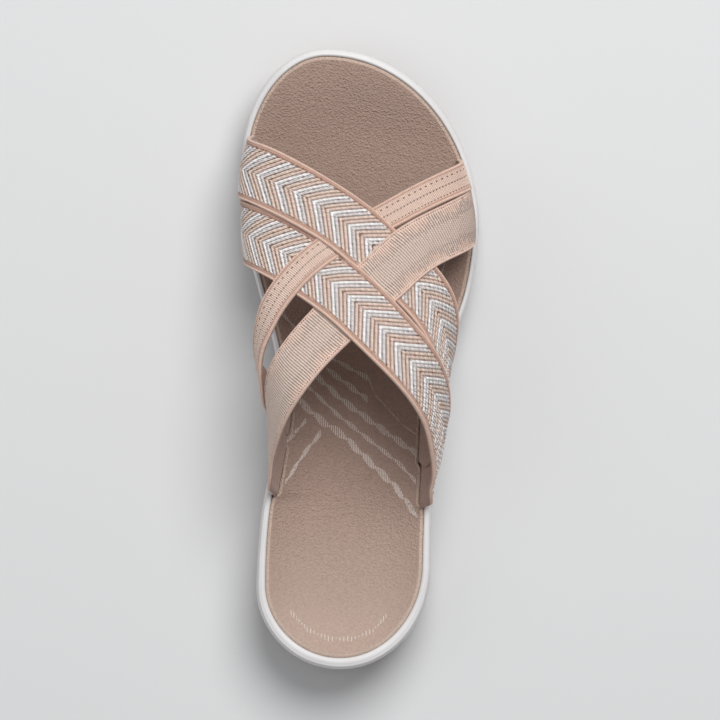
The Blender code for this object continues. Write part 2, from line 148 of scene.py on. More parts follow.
# Small relief of the knit: pitch and lift of picots, scallops, dots and ribs, and the groove of the seam
PICOT_PITCH = 0.0009
PICOT_LIFT = 0.00007
SCALLOP_PITCH = 0.001
SCALLOP_LIFT = 0.00012
NARROW_DOT = 0.0008
NARROW_DOT_LIFT = 0.00006
NARROW_RIB_LIFT = 0.00018
WIDE_DOT = 0.0009
WIDE_DOT_LIFT = 0.00010
WIDE_RIB_LIFT = 0.00017
GROOVE_HALF = 0.0003
GROOVE_DEPTH = 0.0002

# Dashes of the stitched lines: their pitch and length along a strap
FLECKS = (0.00105, 0.0004)
SEAM_DASHES = (0.0016, 0.0007)
TOE_DASHES = (0.0027, 0.0009)


def table(names, rows):
    """Named columns from rows, one row for each section."""
    return {name: np.array([row[k] for row in rows]) for k, name in enumerate(names.split())}


# Outline: half widths as shares of the ball width, rim as a share of its width
OUTLINE = table("along medial lateral rim", (
    (0.00, 0.366, 0.372, 1.55),
    (0.15, 0.364, 0.370, 1.20),
    (0.25, 0.344, 0.373, 1.07),
    (0.33, 0.303, 0.381, 0.93),
    (0.43, 0.264, 0.398, 0.87),
    (0.52, 0.292, 0.460, 0.80),
    (0.61, 0.356, 0.538, 0.77),
    (0.70, 0.413, 0.571, 0.73),
    (0.80, 0.4285, 0.5715, 0.77),
    (1.00, 0.4285, 0.5715, 1.00),
))
HEEL_ARC = {-1: 0.135, 1: 0.165}
TOE_ARC = {-1: 0.187, 1: 0.285}
HEEL_TIP = -0.012
TOE_TIP = -0.071

# Heights: spring as a share of the toe spring, heel as a share of the drop, cup as a share of its depth
HEIGHTS = table("along spring heel medial lateral dish", (
    (0.00, 0.36, 1.00, 0.57, 0.57, 3.0),
    (0.04, 0.11, 1.00, 0.80, 0.80, 3.0),
    (0.08, 0.00, 1.00, 0.93, 0.93, 3.0),
    (0.15, 0.00, 1.00, 1.00, 1.00, 3.0),
    (0.34, 0.00, 0.97, 1.02, 0.64, 2.6),
    (0.47, 0.11, 0.70, 1.03, 0.34, 2.1),
    (0.60, 0.00, 0.31, 0.71, 0.29, 2.2),
    (0.73, 0.00, 0.00, 0.43, 0.36, 2.6),
    (0.85, 0.21, -0.16, 0.36, 0.36, 3.0),
    (1.00, 1.00, -0.37, 0.29, 0.29, 3.0),
))

# Last above the rim: bulges as shares of the side bulge, the ridge across as a share of the ball width,
# its height above the footbed as a share of the instep, how high the widest points lie, and the roundness
LAST = table("along medial lateral ridge height low_medial low_lateral round", (
    (0.20, 0.10, 0.30, 0.00, 1.18, 0.08, 0.08, 1.45),
    (0.25, 0.14, 0.34, 0.00, 1.165, 0.10, 0.10, 1.50),
    (0.33, 0.46, 0.50, 0.01, 1.12, 0.18, 0.18, 1.75),
    (0.42, 0.88, 0.72, 0.02, 1.065, 0.30, 0.24, 2.10),
    (0.50, 1.02, 0.50, 0.03, 1.00, 0.36, 0.22, 2.25),
    (0.58, 0.78, 0.32, 0.04, 0.91, 0.36, 0.22, 2.25),
    (0.66, 0.56, 0.22, 0.04, 0.80, 0.36, 0.26, 2.25),
    (0.74, 0.34, 0.10, 0.03, 0.68, 0.34, 0.30, 2.20),
    (0.80, 0.32, 0.02, 0.01, 0.59, 0.32, 0.30, 2.20),
    (0.86, 0.10, 0.02, 0.00, 0.51, 0.30, 0.30, 2.20),
    (1.00, 0.10, 0.02, 0.00, 0.31, 0.30, 0.30, 2.20),
))

# Smooth panel under the arch: its edge away from the sole's rim, as a share of the ball width
PANEL = table("along across", (
    (0.312, -0.230),
    (0.337, -0.156),
    (0.360, -0.093),
    (0.405, -0.028),
    (0.450, -0.021),
    (0.495, -0.038),
    (0.539, -0.148),
    (0.570, -0.243),
))
PANEL_OUTER_RAMP = 0.006
PANEL_INNER_RAMP = 0.004
PANEL_SLOPE = 0.0010
PANEL_RIM_SLOPE = 0.0006

# Border round the tread: its inner rings, as shares of its width and of the tread's depth
BORDER = table("inward sunk", (
    (0.85, 0.4),
    (0.70, 0.0),
    (0.35, 0.0),
    (0.00, 0.0),
))

# Ribs of the tread counted from the toe: where their trough and their crest lie along the shoe, and one
# rib's section, as shares of the pitch and of the tread's depth
RIBS = table("rib trough crest", (
    (0, 0.963, 0.970),
    (5, 0.849, 0.893),
    (12, 0.646, 0.781),
    (19, 0.470, 0.664),
    (24, 0.363, 0.578),
    (25.5, 0.340, 0.536),
    (32.5, 0.215, 0.309),
    (40, 0.080, 0.150),
    (44, 0.009, 0.053),
    (46, -0.027, 0.009),
))
RIB_SECTION = table("offset rise", (
    (-0.42, -0.5),
    (-0.34, 0.45),
    (-0.18, 0.9),
    (0.00, 1.0),
    (0.18, 0.9),
    (0.34, 0.45),
    (0.42, -0.5),
))
RIB_TROUGH = 0.18
RIB_CREST = 0.71
RIB_LATERAL_RISE = 0.38
RIB_MEDIAL_FALL = 0.28
RIB_ENDS = (0.012, 0.988)
RIB_FADE = (0.55, 1.35)
RIB_SINK = 0.0003
RIB_ROOT = 0.8
RIB_SHORTEST = 8

# Bands of printed ticks on the footbed: the ticks' height and pitch in metres, and the corners of the
# band as shares of the ball width and of the length from the heel
TICK_PITCH = 0.00098
BANDS = (
    {"tall": 0.0042, "pitch": TICK_PITCH, "corners": table("across along", (
        (-0.190, 0.435), (-0.093, 0.401), (0.000, 0.377), (0.123, 0.330), (0.216, 0.296), (0.313, 0.246),
    ))},
    {"tall": 0.0036, "pitch": TICK_PITCH, "corners": table("across along", (
        (-0.114, 0.474), (-0.004, 0.434), (0.123, 0.398), (0.258, 0.361), (0.321, 0.345),
    ))},
    {"tall": 0.0024, "pitch": TICK_PITCH, "corners": table("across along", (
        (-0.148, 0.456), (-0.025, 0.411), (0.106, 0.371), (0.241, 0.330), (0.309, 0.301),
    ))},
    {"tall": 0.0030, "pitch": TICK_PITCH, "corners": table("across along", (
        (-0.072, 0.485), (0.106, 0.434),
    ))},
    {"tall": 0.0030, "pitch": TICK_PITCH, "corners": table("across along", (
        (-0.093, 0.382), (-0.169, 0.345), (-0.245, 0.300),
    ))},
    {"tall": 0.0026, "pitch": TICK_PITCH, "corners": table("across along", (
        (-0.156, 0.401), (-0.238, 0.366),
    ))},
    {"tall": 0.0006, "pitch": 0.0009, "corners": table("across along", (
        (0.093, 0.481), (0.135, 0.443), (0.190, 0.419), (0.254, 0.393), (0.321, 0.375),
    ))},
    {"tall": 0.0022, "pitch": 0.0016, "corners": table("across along", (
        (-0.224, 0.094), (-0.150, 0.064), (-0.060, 0.049), (0.040, 0.049), (0.125, 0.062), (0.190, 0.090),
    ))},
    {"tall": 0.0020, "pitch": TICK_PITCH, "corners": table("across along", (
        (0.440, 0.670), (0.410, 0.630), (0.300, 0.590), (0.150, 0.560),
    ))},
    {"tall": 0.0024, "pitch": TICK_PITCH, "corners": table("across along", (
        (-0.290, 0.590), (-0.180, 0.540), (-0.040, 0.500), (0.100, 0.470),
    ))},
)
TICK_WIDTH = 0.00042
TICK_POINTS = 4
TICK_WAVE = 0.0086
TICK_LIFT = 0.00006
ABOVE_BED = 0.15

# Side wall of the midsole: height as a share of the wall, inset as a share of the flare
SIDE = table("height inset", (
    (0.00, 1.00),
    (0.06, 0.67),
    (0.30, 0.25),
    (0.46, 0.15),
    (0.50, 0.46),
    (0.54, 0.15),
    (0.75, 0.00),
    (0.93, 0.17),
    (1.00, 0.50),
))

# Straps: width, the centre line (share across the last, share along the shoe) and the layer that it
# lies in (share of its own length, layers above the last)
STRAPS = {
    "chevron_front": {
        "width": CHEVRON_WIDTH,
        "line": table("across along", (
            (0.00, 0.814), (0.12, 0.806), (0.20, 0.7955), (0.28, 0.777), (0.37, 0.750), (0.46, 0.718),
            (0.56, 0.672), (0.67, 0.617), (0.78, 0.544), (0.88, 0.462), (1.00, 0.368),
        )),
        "layer": table("share layer", (
            (0.00, 0.0), (0.10, 0.8), (0.30, 1.2), (0.40, 1.5), (0.455, 0.3), (0.50, 0.0), (0.86, 0.0),
            (0.95, -1.0), (1.00, -1.0),
        )),
    },
    "chevron_back": {
        "width": BACK_WIDTH,
        "line": table("across along", (
            (0.00, 0.7125), (0.12, 0.7035), (0.20, 0.693), (0.28, 0.675), (0.37, 0.6445), (0.46, 0.605),
            (0.55, 0.556), (0.66, 0.493), (0.76, 0.430), (0.86, 0.371), (1.00, 0.308),
        )),
        "layer": table("share layer", (
            (0.00, 0.0), (0.33, 0.0), (0.39, 1.0), (0.50, 1.2), (0.60, 1.0), (0.90, 1.0), (0.97, 0.0),
            (1.00, 0.0),
        )),
    },
    "plain_narrow": {
        "width": NARROW_WIDTH,
        "line": table("across along", (
            (0.00, 0.400), (0.08, 0.438), (0.16, 0.496), (0.22, 0.546), (0.255, 0.580), (0.32, 0.629),
            (0.37, 0.656), (0.43, 0.682), (0.50, 0.704), (0.60, 0.732), (0.70, 0.7575), (0.80, 0.778),
            (0.90, 0.793), (1.00, 0.800),
        )),
        "layer": table("share layer", (
            (0.00, 0.0), (0.07, 0.9), (0.15, 1.0), (0.49, 1.0), (0.545, 0.35), (0.60, 0.0), (0.67, 0.0),
            (0.76, 0.55), (0.93, 0.55), (1.00, 0.0),
        )),
    },
    "plain_wide": {
        "width": WIDE_WIDTH,
        "line": table("across along", (
            (0.00, 0.320), (0.10, 0.366), (0.20, 0.415), (0.29, 0.465), (0.38, 0.523), (0.43, 0.5545),
            (0.50, 0.596), (0.56, 0.6245), (0.63, 0.6615), (0.70, 0.6875), (0.80, 0.7105), (0.90, 0.728),
            (1.00, 0.739),
        )),
        "layer": table("share layer", (
            (0.00, 0.0), (0.55, 0.0), (0.59, 0.5), (0.63, 1.0), (0.71, 1.0), (0.79, 0.0), (1.00, 0.0),
        )),
    },
}


def read(columns, name, at):
    """Smooth value of a column between its rows; it stays flat where neighbouring rows are equal."""
    xs = columns[next(iter(columns))]
    ys = columns[name]
    steps = np.diff(ys) / np.diff(xs)
    slopes = np.zeros(len(xs))
    inner = (ys[2:] - ys[:-2]) / (xs[2:] - xs[:-2])
    slopes[1:-1] = np.where(steps[:-1] * steps[1:] > 0, inner, 0)
    at = np.clip(at, xs[0], xs[-1])
    k = np.clip(np.searchsorted(xs, at, side="right") - 1, 0, len(xs) - 2)
    gap = xs[k + 1] - xs[k]
    f = (at - xs[k]) / gap
    start = (1 + 2 * f) * (1 - f) ** 2 * ys[k] + f * (1 - f) ** 2 * gap * slopes[k]
    return start + f * f * (3 - 2 * f) * ys[k + 1] + f * f * (f - 1) * gap * slopes[k + 1]


def smooth(value, low, high):
    """0 below low, 1 above high and a soft step between."""
    f = np.clip((value - low) / (high - low), 0, 1)
    return f * f * (3 - 2 * f)


# Outline and heights of the sole
def side_name(side):
    return "medial" if side < 0 else "lateral"


def outline_x(side, along):
    """Edge of the sole across, on one side of the shoe (-1 medial, 1 lateral)."""
    along = np.clip(along, 0, 1)
    wide = side * read(OUTLINE, side_name(side), along) * BALL_WIDTH
    heel_tip = HEEL_TIP * BALL_WIDTH
    toe_tip = TOE_TIP * BALL_WIDTH
    into_heel = np.clip(1 - along / HEEL_ARC[side], 0, 1)
    into_toe = np.clip(1 - (1 - along) / TOE_ARC[side], 0, 1)
    wide = heel_tip + (wide - heel_tip) * np.sqrt(1 - into_heel ** 2)
    return np.where(into_toe > 0, toe_tip + (wide - toe_tip) * np.sqrt(1 - into_toe ** 2), wide)


def inset_x(side, along, inset):
    """The same edge moved inward at right angles, away from the rounded ends."""
    step = 0.001
    slope = (outline_x(side, along + step) - outline_x(side, along - step)) / (2 * step * LENGTH)
    return outline_x(side, along) - side * inset * np.sqrt(1 + slope ** 2)


def ground_z(along):
    return TOE_SPRING * read(HEIGHTS, "spring", along)


def bed_z(along):
    """Footbed along its middle."""
    drop = HEEL_HEIGHT - BALL_HEIGHT
    return BALL_HEIGHT + drop * read(HEIGHTS, "heel", along) + ground_z(along)


def rim_z(side, along):
    return bed_z(along) + CUP_DEPTH * read(HEIGHTS, side_name(side), along)


def rim_width(along):
    return RIM_WIDTH * read(OUTLINE, "rim", along)


def floor_z(along):
    """Floor of the recess that holds the footbed."""
    return bed_z(along) - BED_THICKNESS - SEAM


class Loop:
    """The sole's outline as points once round, close together at heel and toe."""

    def __init__(self, stations):
        up = (1 - np.cos(np.linspace(0, math.pi, stations))) / 2
        self.along = np.concatenate([up, up[-2:0:-1]])
        self.side = np.concatenate([-np.ones(stations), np.ones(stations - 2)])
        self.edge = np.stack([self.by_side(outline_x), self.along * LENGTH], 1)
        ahead = np.roll(self.edge, -1, 0) - np.roll(self.edge, 1, 0)
        ahead /= np.linalg.norm(ahead, axis=1)[:, None]
        self.inward = np.stack([ahead[:, 1], -ahead[:, 0]], 1)
        middle_along = np.clip(self.along, SPINE_HEEL, SPINE_TOE)
        middle = (outline_x(-1, middle_along) + outline_x(1, middle_along)) / 2
        self.spine = np.stack([middle, middle_along * LENGTH], 1)

    def by_side(self, function):
        return np.where(self.side < 0, function(-1, self.along), function(1, self.along))

    def inset(self, amount):
        return self.edge + self.inward * np.broadcast_to(amount, self.along.shape)[:, None]

    def toward_spine(self, points, share):
        return self.spine + share * (points - self.spine)


def ring(points, height):
    return np.column_stack([points, np.broadcast_to(height, len(points))])


# Meshes
def grid_quads(rows, columns, closed):
    """Corners of the quads between rows of points, each row a ring when closed."""
    index = np.arange(rows * columns).reshape(rows, columns)
    if closed:
        index = np.concatenate([index, index[:, :1]], 1)
    corners = (index[:-1, :-1], index[:-1, 1:], index[1:, 1:], index[1:, :-1])
    return np.stack(corners, -1).reshape(-1, 4)


def add_piece(name, points, faces, materials, choice=None, caps=()):
    """A piece of the shoe from points and quads; choice gives each quad its material."""
    points = points.reshape(-1, 3) - np.array([0, HEEL_REST * LENGTH, 0])
    mesh = bpy.data.meshes.new(name)
    mesh.from_pydata(points, [], faces.tolist() + [list(cap) for cap in caps])
    for material in materials:
        mesh.materials.append(material)
    if choice is not None:
        indices = np.concatenate([choice, np.zeros(len(caps), int)])
        mesh.polygons.foreach_set("material_index", indices)
    tidy = bmesh.new()
    tidy.from_mesh(mesh)
    bmesh.ops.remove_doubles(tidy, verts=tidy.verts, dist=WELD)
    bmesh.ops.recalc_face_normals(tidy, faces=tidy.faces)
    tidy.to_mesh(mesh)
    tidy.free()
    mesh.shade_smooth()
    piece = bpy.data.objects.new(name, mesh)
    bpy.context.scene.collection.objects.link(piece)
    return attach(piece, "root")


def ring_piece(name, rings, material):
    rings = np.array(rings)
    return add_piece(name, rings, grid_quads(len(rings), rings.shape[1], True), [material])


# Materials
def linear(red, green, blue):
    """Linear colour of an sRGB one."""
    values = np.array([red, green, blue]) / 255
    return (*np.where(values < 0.04045, values / 12.92, ((values + 0.055) / 1.055) ** 2.4), 1.0)


def add_node(material, kind, inputs, **settings):
    """A node with its settings, and its inputs set or linked."""
    made = material.node_tree.nodes.new(kind)
    for key, value in settings.items():
        setattr(made, key, value)
    for key, value in inputs.items():
        if isinstance(value, bpy.types.NodeSocket):
            material.node_tree.links.new(value, made.inputs[key])
        else:
            made.inputs[key].default_value = value
    return made


def new_material(name, roughness, **sockets):
    """A Principled material, its shader, and object coordinates in metres."""
    material = bpy.data.materials.new(name)
    material.use_nodes = True
    shader = material.node_tree.nodes["Principled BSDF"]
    shader.inputs["Roughness"].default_value = roughness
    for key, value in sockets.items():
        shader.inputs[key.replace("_", " ")].default_value = value
    place = add_node(material, "ShaderNodeTexCoord", {}).outputs["Object"]
    return material, shader, place


def two_tone(material, shader, share, dark, light):
    """Colour that runs from dark to light with a share from 0 to 1."""
    mix = add_node(material, "ShaderNodeMix", {"Factor": share, "A": dark, "B": light}, data_type="RGBA")
    material.node_tree.links.new(mix.outputs["Result"], shader.inputs["Base Color"])
    return mix


def relief(material, shader, height, distance, strength):
    """Bumps of a material from a height, on the shader."""
    bump = add_node(material, "ShaderNodeBump", {
        "Height": height, "Distance": distance, "Strength": strength})
    material.node_tree.links.new(bump.outputs["Normal"], shader.inputs["Normal"])


def yarn(name, colour, shade):
    """Matt knitting yarn with fibres and a faint change of tone, down to a shade of its colour."""
    material, shader, place = new_material(name, 0.88, Sheen_Weight=0.25, Sheen_Roughness=0.5)
    tone = add_node(material, "ShaderNodeTexNoise", {"Vector": place, "Scale": 900, "Detail": 3})
    spread = add_node(material, "ShaderNodeMapRange", {
        "Value": tone.outputs["Fac"], "From Min": 0.35, "From Max": 0.65})
    light = linear(*colour)
    dark = (*(part * shade for part in light[:3]), 1.0)
    two_tone(material, shader, spread.outputs["Result"], dark, light)
    fibre = add_node(material, "ShaderNodeTexNoise", {"Vector": place, "Scale": 4200, "Detail": 2})
    relief(material, shader, fibre.outputs["Fac"], 0.00012, 0.8)
    return material


YARN = {name: yarn("yarn_" + name, colour, shade) for name, colour, shade in (
    ("white", (250, 248, 248), 0.92),
    ("grey_stitch", (134, 122, 118), 0.80),
    ("light_grey", (228, 221, 219), 0.88),
    ("dark_brown", (104, 78, 66), 0.80),
    ("cream", (236, 214, 198), 0.86),
    ("brown", (120, 84, 68), 0.80),
    ("pink", (232, 208, 195), 0.86),
    ("taupe", (124, 102, 92), 0.80),
    ("peach", (224, 191, 174), 0.86),
    ("peach_dark", (196, 158, 140), 0.85),
    # Lighter and darker peach for the ribs of the plain straps: partly the knit's two tones and partly
    # painted light and shade.
    ("peach_light", (232, 207, 192), 0.88),
    ("peach_shade", (186, 154, 138), 0.88),
    ("stone", (226, 205, 191), 0.88),
    ("stone_dark", (158, 137, 128), 0.85),
    ("lining", (176, 146, 132), 0.85),
)}
CHEVRON_LINES = ("white", "grey_stitch", "light_grey", "dark_brown", "cream", "brown", "pink", "taupe")
YARN_INDEX = {name: k for k, name in enumerate(YARN)}


# Last and straps
def half_arch(side, along):
    """Section of the last from the slot beside the rim up to the ridge, as points across and up."""
    foot_x = inset_x(side, along, rim_width(along) + SEAM + WALL * BINDING_GROW / 2)
    foot_z = rim_z(side, along) + 2 * SEAM
    ridge_x = BALL_WIDTH * read(LAST, "ridge", along)
    ridge_z = bed_z(along) + INSTEP * read(LAST, "height", along)
    wide_x = foot_x + side * SIDE_BULGE * read(LAST, side_name(side), along)
    wide_z = foot_z + (ridge_z - foot_z) * read(LAST, "low_" + side_name(side), along)
    power = 2 / read(LAST, "round", along)
    up = np.linspace(0, 1, ARCH_LOW)
    low_x = foot_x + (wide_x - foot_x) * up * up * (3 - 2 * up)
    low = np.stack([low_x, foot_z + (wide_z - foot_z) * up], 1)
    turn = np.linspace(0, math.pi / 2, ARCH_HIGH)[1:]
    over = ridge_x + (wide_x - ridge_x) * np.maximum(np.cos(turn), 0) ** power
    high = np.stack([over, wide_z + (ridge_z - wide_z) * np.sin(turn) ** power], 1)
    return np.concatenate([low, high])


def last_grid():
    """The last as a grid of points: one arch for each slice, with even steps along the arch."""
    slices = []
    for along in np.linspace(*LAST_SPAN, LAST_SLICES):
        arch = np.concatenate([half_arch(-1, along), half_arch(1, along)[-2::-1]])
        reach = np.concatenate([[0], np.cumsum(np.linalg.norm(np.diff(arch, axis=0), axis=1))])
        even = np.linspace(0, reach[-1], LAST_STEPS)
        x = np.interp(even, reach, arch[:, 0])
        z = np.interp(even, reach, arch[:, 1])
        slices.append(np.column_stack([x, np.full(LAST_STEPS, along * LENGTH), z]))
    return np.array(slices)


LAST_GRID = last_grid()


def on_last(across, along):
    """Points of the last: across is the share of the arch's length, from the medial slot to the lateral."""
    u = np.clip(across, 0, 1) * (LAST_STEPS - 1)
    v = np.clip((along - LAST_SPAN[0]) / (LAST_SPAN[1] - LAST_SPAN[0]), 0, 1) * (LAST_SLICES - 1)
    i = np.minimum(np.floor(u).astype(int), LAST_STEPS - 2)
    j = np.minimum(np.floor(v).astype(int), LAST_SLICES - 2)
    right = (u - i)[..., None]
    ahead = (v - j)[..., None]
    low = LAST_GRID[j, i] * (1 - right) + LAST_GRID[j, i + 1] * right
    high = LAST_GRID[j + 1, i] * (1 - right) + LAST_GRID[j + 1, i + 1] * right
    return low * (1 - ahead) + high * ahead


def unit(vectors):
    return vectors / np.linalg.norm(vectors, axis=-1, keepdims=True)


def last_slopes(across, along):
    """How a point of the last moves with the share across and with the share along."""
    left = np.maximum(across - SLOPE_STEP, 0)
    right = np.minimum(across + SLOPE_STEP, 1)
    d_across = (on_last(right, along) - on_last(left, along)) / (right - left)[..., None]
    d_along = (on_last(across, along + SLOPE_STEP) - on_last(across, along - SLOPE_STEP)) / (2 * SLOPE_STEP)
    return d_across, d_along


def strap_edge(strap, side):
    """Edge of a strap (side 1 toe, -1 heel): its centre line moved half the width over the last."""
    across = np.linspace(0, 1, EDGE_STEPS)
    along = read(strap["line"], "along", across)
    d_across, d_along = last_slopes(across, along)
    ahead = d_across + d_along * np.gradient(along, across)[:, None]
    sideways = unit(np.cross(np.cross(d_across, d_along), ahead)) * side * strap["width"] / 2
    aa = np.sum(d_across * d_across, 1)
    bb = np.sum(d_along * d_along, 1)
    ab = np.sum(d_across * d_along, 1)
    sa = np.sum(sideways * d_across, 1)
    sb = np.sum(sideways * d_along, 1)
    move = np.stack([sa * bb - sb * ab, sb * aa - sa * ab]) / (aa * bb - ab * ab)
    reached = np.linalg.norm(on_last(across + move[0], along + move[1]) - on_last(across, along), axis=1)
    inside = (across + move[0] > 0) & (across + move[0] < 1)
    move = np.where(inside, move * strap["width"] / 2 / reached, move)
    edge = np.column_stack([across + move[0], along + move[1]])
    return edge[np.argsort(edge[:, 0])]


def edge_along(strap, side, across):
    """Share along the shoe of a strap's edge where the last's share across is given."""
    edge = strap_edge(strap, side)
    return np.interp(across, edge[:, 0], edge[:, 1])


def strap_columns(strap, columns):
    """Own length, points and outward directions along each column of a strap (0 heel edge, 1 toe edge)."""
    shares = np.linspace(0, 1, STRAP_STEPS)
    back = edge_along(strap, -1, shares)
    front = edge_along(strap, 1, shares)
    along = back[:, None] + columns * (front - back)[:, None]
    across = np.broadcast_to(shares[:, None], along.shape)
    points = on_last(across, along)
    centre = on_last(shares, read(strap["line"], "along", shares))
    reach = np.concatenate([[0], np.cumsum(np.linalg.norm(np.diff(centre, axis=0), axis=1))])
    ahead = unit(np.gradient(centre, axis=0))
    own = reach[:, None] + np.sum((points - centre[:, None]) * ahead[:, None], axis=2)
    own = np.maximum.accumulate(own, axis=0)
    layer = read(strap["layer"], "layer", own / reach[-1])
    outward = unit(np.cross(*last_slopes(across, along)))
    points = points + outward * (layer * (WALL - FUSE))[..., None]
    return own, points, outward, reach[-1]


def place_on_strap(strap, across, own):
    """Points and outward directions on a strap: across in metres from its centre line, and own length."""
    lengths, points, outward, _ = strap_columns(strap, 0.5 + across / strap["width"])
    place = np.empty(own.shape + (3,))
    facing = np.empty(own.shape + (3,))
    for k in range(len(across)):
        for axis in range(3):
            place[:, k, axis] = np.interp(own[:, k], lengths[:, k], points[:, k, axis])
            facing[:, k, axis] = np.interp(own[:, k], lengths[:, k], outward[:, k, axis])
        before = np.maximum(lengths[0, k] - own[:, k], 0)
        beyond = np.maximum(own[:, k] - lengths[-1, k], 0)
        place[:, k, 2] -= before + beyond
    return place, unit(facing)


def edge_profile(inward, lift):
    """Lift of the outer face over the binding: a rolled edge, a groove and a flat inner row."""
    roll = 1 - np.clip((inward - ROLL_MIDDLE) / ROLL_REACH, -1, 1) ** 2
    row = 1 - np.clip((inward - ROW_MIDDLE) / ROLL_REACH, -1, 1) ** 2
    return lift * np.where(inward < ROLL_END, roll, ROW_SHARE * row)


def edge_fall(inward):
    """How far the outer face falls at a strap's very edge."""
    return EDGE_FALL * (1 - np.clip(inward / EDGE_ROUND, 0, 1)) ** 2


def wave(value, period, shift=0):
    return np.cos(value / period * 2 * math.pi + shift)


def dashes(own, pitch, length):
    """Where the dashes of a stitched line lie along a strap."""
    return np.mod(own, pitch) < length


def around_strap(half, step):
    """Positions across a strap: over its outer face, close together at the binding, and back under it."""
    binding = np.array([
        0, 0.0001, 0.0003, 0.0005, 0.0007, 0.0009, ROLL_END, 0.0013, 0.0016, 0.0019, 0.0022])
    middle = half - BINDING_RUN
    inner = np.linspace(-middle, middle, 2 * math.ceil(middle / step) + 1)
    under = np.linspace(half - UNDER_INSET, -half + UNDER_INSET, UNDER_POINTS)
    return np.concatenate([-half + binding, inner, half - binding[::-1], under])


def chevron_rows(length, half):
    """Rows counted in cords and stitched lines, and where each meets the strap's centre line."""
    first = math.floor((-TAB_DEPTH - half - CHEVRON_START) / PERIOD) * LINES
    last = math.ceil((length + TAB_DEPTH - CHEVRON_START) / PERIOD) * LINES
    turns = np.arange(first * CORD_STEPS, last * CORD_STEPS + 1) / CORD_STEPS
    pair = np.floor(turns / 2)
    within = turns - 2 * pair
    share = np.where(within < 1, within * CORD_SHARE, CORD_SHARE + (within - 1) * (1 - CORD_SHARE))
    return turns, CHEVRON_START + PERIOD * (pair + share) / (LINES / 2)


def build_strap(name, across, own, lift, choice):
    """A strap as one closed body: the knit in relief on its outer face and a plain lining under it."""
    place, facing = place_on_strap(STRAPS[name], across, own)
    under = np.arange(len(across)) >= len(across) - UNDER_POINTS
    height = np.where(under, LINING_FACE, lift)
    place = place + facing * height[..., None]
    quads = grid_quads(len(own), len(across), True)
    choice = np.where(under, YARN_INDEX["lining"], choice)
    caps = (np.arange(len(across)), np.arange(len(across)) + (len(own) - 1) * len(across))
    piece = add_piece(name, place, quads, list(YARN.values()), choice[:-1].ravel(), caps)
    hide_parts("upper")


def build_chevron_strap(name):
    """A wide strap, with rows that fall back from its centre line to both edges."""
    half = STRAPS[name]["width"] / 2
    across = around_strap(half, CHEVRON_STEP)
    length = strap_columns(STRAPS[name], np.array([0.5]))[3]
    turns, rows = chevron_rows(length, half)
    own = np.clip(rows[:, None] + np.abs(across), -TAB_DEPTH, length + TAB_DEPTH)
    build_strap(name, across, own, *chevron_knit(turns[:, None], across, own, half))


def build_plain_strap(name, step, rib, knit):
    """A plain strap, with rows straight across it."""
    half = STRAPS[name]["width"] / 2
    across = around_strap(half, step)
    length = strap_columns(STRAPS[name], np.array([0.5]))[3]
    rows = np.arange(-TAB_DEPTH, length + TAB_DEPTH + rib / RIB_ROWS, rib / RIB_ROWS)
    own = np.clip(rows[:, None] + 0 * across, -TAB_DEPTH, length + TAB_DEPTH)
    build_strap(name, across, own, *knit(across, own, half))


def chevron_knit(turns, across, own, half):
    """Relief and yarn of the chevron straps."""
    inward = half - np.abs(across)
    line = np.floor(turns + 1e-6).astype(int)
    inside = np.clip(turns - line, 0, 1)
    kind = line % LINES
    cord = kind % 2 == 0
    loops = wave(np.abs(across), LOOP, line * LOOP_SHIFT)
    swell = np.sin(math.pi * inside) ** 0.7
    on_cord = CORD_LIFT * swell * (0.68 + 0.32 * loops)
    on_stitch = CORD_LIFT * swell * (0.30 * np.maximum(loops, 0) - 0.45)
    pattern = CHEVRON_FACE + np.where(cord, on_cord, on_stitch)
    in_binding = inward < CHEVRON_BINDING + CHEVRON_SCALLOP * np.sin(math.pi * inside) * cord
    picot = PICOT_LIFT * wave(own, PICOT_PITCH)
    lift = np.where(in_binding, BINDING_FACE + edge_profile(inward, CHEVRON_ROLL) + picot, pattern)
    yarns = np.array([YARN_INDEX[name] for name in CHEVRON_LINES])
    between = ~cord & (loops < -0.70)
    choice = np.where(between, yarns[(kind - 1) % LINES], yarns[kind])
    broken = cord & (loops < -0.80) & (np.abs(inside - 0.5) > 0.2)
    choice = np.where(broken, yarns[(kind + 1) % LINES], choice)
    rolled = np.where(inward < ROLL_END, YARN_INDEX["peach"], YARN_INDEX["peach_dark"])
    choice = np.where(in_binding, rolled, choice)
    fleck = (inward > 0.0017) & (inward < 0.0024) & dashes(own, *FLECKS)
    choice = np.where(fleck, YARN_INDEX["brown"], choice)
    return lift - edge_fall(inward), choice


def narrow_knit(across, own, half):
    """Relief and yarn of the narrow plain strap, with a stitched line along its middle."""
    inward = half - np.abs(across)
    ribs = wave(own, NARROW_RIB)
    body = NARROW_FACE + NARROW_RIB_LIFT * ribs + NARROW_DOT_LIFT * wave(across, NARROW_DOT)
    scallop = SCALLOP_LIFT * wave(own, SCALLOP_PITCH) * (inward < 0.0012)
    edge = BINDING_FACE + edge_profile(inward, NARROW_ROLL) + scallop
    in_edge = inward < NARROW_BINDING
    # Rib troughs take the darker peach: partly the knit's alternating tones and partly painted shade in the
    # troughs.
    choice = np.where(ribs > -0.2, YARN_INDEX["peach_light"], YARN_INDEX["peach_shade"])
    in_groove = np.abs(across) < GROOVE_HALF
    choice = np.where(in_groove & dashes(own, *SEAM_DASHES), YARN_INDEX["dark_brown"], choice)
    toe_line = (np.abs(across - half + 0.0029) < 0.0003) & dashes(own, *TOE_DASHES)
    heel_line = (np.abs(across + half - 0.0024) < 0.0002) & dashes(own, *SEAM_DASHES)
    choice = np.where(toe_line | heel_line, YARN_INDEX["brown"], choice)
    rolled = np.where(inward < ROLL_END, YARN_INDEX["peach"], YARN_INDEX["peach_dark"])
    choice = np.where(in_edge, rolled, choice)
    lift = np.where(in_edge, edge, body - GROOVE_DEPTH * in_groove)
    return lift - edge_fall(inward), choice


